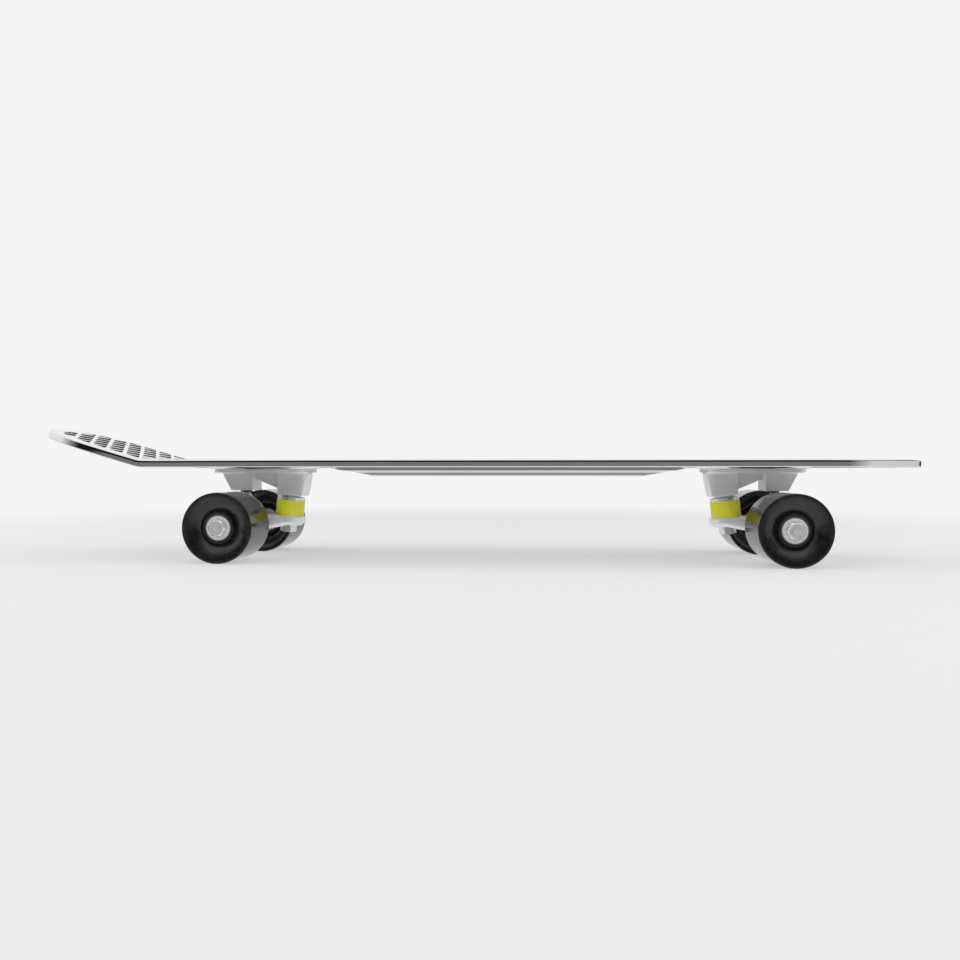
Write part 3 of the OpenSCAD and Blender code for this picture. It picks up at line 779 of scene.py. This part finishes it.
SLOTS = {"deck": MIRROR, "cast_alloy": ALLOY, "bright_steel": STEEL, "bearing_steel": RACE_STEEL_PAINTED_SHADE,
         "shield": SHIELD, "bushing": LIME, "black_rubber": RUBBER, "wheel": URETHANE}
for node, piece in NODES.items():
    for slot in piece.material_slots:
        if slot.material:
            for name, material in SLOTS.items():
                if slot.material.name.split(".")[0].endswith(name) and slot.material != material:
                    slot.material = material
                    break


def cast(node, voxel, smoothing):
    """Casting look for a CAD node: fine remesh and a little smoothing round its edges."""
    piece = NODES[node]
    remesh = piece.modifiers.new("cast_skin", "REMESH")
    remesh.mode = "VOXEL"
    remesh.voxel_size = voxel
    remesh.use_smooth_shade = True
    smoother = piece.modifiers.new("cast_edges", "SMOOTH")
    smoother.factor = 0.5
    smoother.iterations = smoothing


for end in ENDS:
    cast(f"{end}_hanger", 0.0006, 8)
    cast(f"{end}_baseplate", 0.0004, 3)


# ---------------------------------------------------------------- floor, light and camera

FLOOR_SIZE = 8.0
FLOOR_DROP = 0.0002
FLOOR_FADE = (0.55, 1.25)


def floor():
    """A pale floor that fades into the backdrop. It glows a little, so that shadows stay soft."""
    bpy.ops.mesh.primitive_grid_add(
        x_subdivisions=2, y_subdivisions=2, size=FLOOR_SIZE, location=(0, 0, -FLOOR_DROP))
    plane = bpy.context.object
    plane.name = "floor"
    material = bpy.data.materials.new("pale_floor")
    material.use_nodes = True
    tree = material.node_tree
    shader = tree.nodes["Principled BSDF"]
    shader.inputs["Base Color"].default_value = (0.26, 0.26, 0.26, 1)
    shader.inputs["Emission Color"].default_value = (1, 1, 1, 1)
    shader.inputs["Emission Strength"].default_value = 0.47
    shader.inputs["Roughness"].default_value = 0.9
    shader.inputs["Specular IOR Level"].default_value = 0.0
    clear = tree.nodes.new("ShaderNodeBsdfTransparent")
    mix = tree.nodes.new("ShaderNodeMixShader")
    coords = tree.nodes.new("ShaderNodeTexCoord")
    length = tree.nodes.new("ShaderNodeVectorMath")
    length.operation = "LENGTH"
    fade = tree.nodes.new("ShaderNodeMapRange")
    fade.interpolation_type = "SMOOTHSTEP"
    fade.inputs["From Min"].default_value, fade.inputs["From Max"].default_value = FLOOR_FADE
    tree.links.new(coords.outputs["Object"], length.inputs[0])
    tree.links.new(length.outputs["Value"], fade.inputs["Value"])
    tree.links.new(fade.outputs["Result"], mix.inputs["Fac"])
    tree.links.new(shader.outputs["BSDF"], mix.inputs[1])
    tree.links.new(clear.outputs["BSDF"], mix.inputs[2])
    tree.links.new(mix.outputs["Shader"], tree.nodes["Material Output"].inputs["Surface"])
    plane.data.materials.append(material)
    plane.visible_glossy = False


def studio():
    """A pale backdrop for the eye, an even light for the floor and a horizon for what is polished."""
    world = bpy.data.worlds.new("studio")
    bpy.context.scene.world = world
    world.use_nodes = True
    tree = world.node_tree
    out = tree.nodes["World Output"]
    path = tree.nodes.new("ShaderNodeLightPath")
    coords = tree.nodes.new("ShaderNodeTexCoord")
    parts = tree.nodes.new("ShaderNodeSeparateXYZ")
    tree.links.new(coords.outputs["Generated"], parts.inputs["Vector"])

    def ranged(source, low, high):
        node = tree.nodes.new("ShaderNodeMapRange")
        node.inputs["From Min"].default_value = low
        node.inputs["From Max"].default_value = high
        tree.links.new(source, node.inputs["Value"])
        return node.outputs["Result"]

    def ladder(stops):
        """Grey by the sine of the height above the horizon."""
        ramp = tree.nodes.new("ShaderNodeValToRGB")
        points = ramp.color_ramp.elements
        while len(points) < len(stops):
            points.new(0.5)
        for element, (height, value) in zip(points, stops):
            element.position = (height + 1) / 2
            element.color = (value, value, value, 1)
        tree.links.new(ranged(parts.outputs["Z"], -1.0, 1.0), ramp.inputs["Fac"])
        return ramp.outputs["Color"]

    # What polished surfaces see before the board, behind it and beyond its nose
    front = ladder(((-1.0, 0.85), (-0.40, 0.70), (-0.14, 0.25), (-0.02, 0.17), (-0.006, 0.010),
                    (0.05, 0.006), (0.42, 0.020), (0.66, 0.30), (0.82, 0.95), (1.0, 1.0)))
    back = ladder(((-1.0, 0.85), (-0.10, 0.78), (-0.035, 0.50), (-0.015, 0.05), (0.012, 0.04),
                   (0.04, 0.65), (0.10, 0.92), (0.40, 0.96), (1.0, 1.0)))
    side = ladder(((-1.0, 0.85), (-0.10, 0.72), (-0.02, 0.66), (0.05, 0.66), (0.12, 0.12), (0.50, 0.10),
                   (0.66, 0.85), (1.0, 1.0)))
    blend = tree.nodes.new("ShaderNodeMixRGB")
    tree.links.new(ranged(parts.outputs["Y"], -0.66, -0.26), blend.inputs["Fac"])
    tree.links.new(front, blend.inputs["Color1"])
    tree.links.new(back, blend.inputs["Color2"])
    flank = tree.nodes.new("ShaderNodeMixRGB")
    tree.links.new(ranged(parts.outputs["X"], 0.70, 0.85), flank.inputs["Fac"])
    tree.links.new(blend.outputs["Color"], flank.inputs["Color1"])
    tree.links.new(side, flank.inputs["Color2"])
    polished = tree.nodes.new("ShaderNodeBackground")
    tree.links.new(flank.outputs["Color"], polished.inputs["Color"])
    polished.inputs["Strength"].default_value = 1.0
    even = tree.nodes.new("ShaderNodeBackground")
    even.inputs["Color"].default_value = (1, 1, 1, 1)
    even.inputs["Strength"].default_value = 0.78
    seen = tree.nodes.new("ShaderNodeBackground")
    seen.inputs["Color"].default_value = (0.91, 0.91, 0.91, 1)
    seen.inputs["Strength"].default_value = 1.0
    first = tree.nodes.new("ShaderNodeMixShader")
    tree.links.new(path.outputs["Is Glossy Ray"], first.inputs["Fac"])
    tree.links.new(even.outputs["Background"], first.inputs[1])
    tree.links.new(polished.outputs["Background"], first.inputs[2])
    second = tree.nodes.new("ShaderNodeMixShader")
    tree.links.new(path.outputs["Is Camera Ray"], second.inputs["Fac"])
    tree.links.new(first.outputs["Shader"], second.inputs[1])
    tree.links.new(seen.outputs["Background"], second.inputs[2])
    tree.links.new(second.outputs["Shader"], out.inputs["Surface"])

    def softbox(name, place, aim, size, watts):
        light = bpy.data.lights.new(name, "AREA")
        light.shape = "RECTANGLE"
        light.size, light.size_y = size
        light.energy = watts
        lamp = bpy.data.objects.new(name, light)
        lamp.location = place
        lamp.rotation_euler = (Vector(aim) - Vector(place)).to_track_quat("-Z", "Y").to_euler()
        lamp.visible_camera = False
        bpy.context.scene.collection.objects.link(lamp)
        return lamp

    overhead = softbox("overhead", (0.0, -0.1, 1.6), (0.0, 0.0, 0.05), (2.4, 1.6), 8.0)
    overhead.visible_glossy = False
    for x in (-1.05, 1.05):
        ahead = softbox("ahead", (x, -0.95, 0.80), (0.0, 0.0, 0.05), (0.7, 0.7), 4.5)
        ahead.visible_glossy = False
    for x in (-1.5, 1.5):
        beside = softbox("beside", (x, 0.05, 0.70), (0.0, 0.0, 0.05), (0.9, 0.7), 7.5)
        beside.visible_glossy = False


def camera():
    """A level view from beside the board, a little forward of its middle."""
    data = bpy.data.cameras.new("view")
    data.sensor_width = 36.0
    data.lens = 31.875
    data.clip_start = 0.01
    eye = bpy.data.objects.new("view", data)
    eye.location = (0.0638, -0.7615, 0.0759)
    eye.rotation_euler = (math.radians(90 - 0.53), 0.0, math.radians(4.36))
    bpy.context.scene.collection.objects.link(eye)
    bpy.context.scene.camera = eye


floor()
studio()
camera()
bpy.context.scene.view_settings.view_transform = "Standard"
bpy.context.scene.view_settings.look = "None"
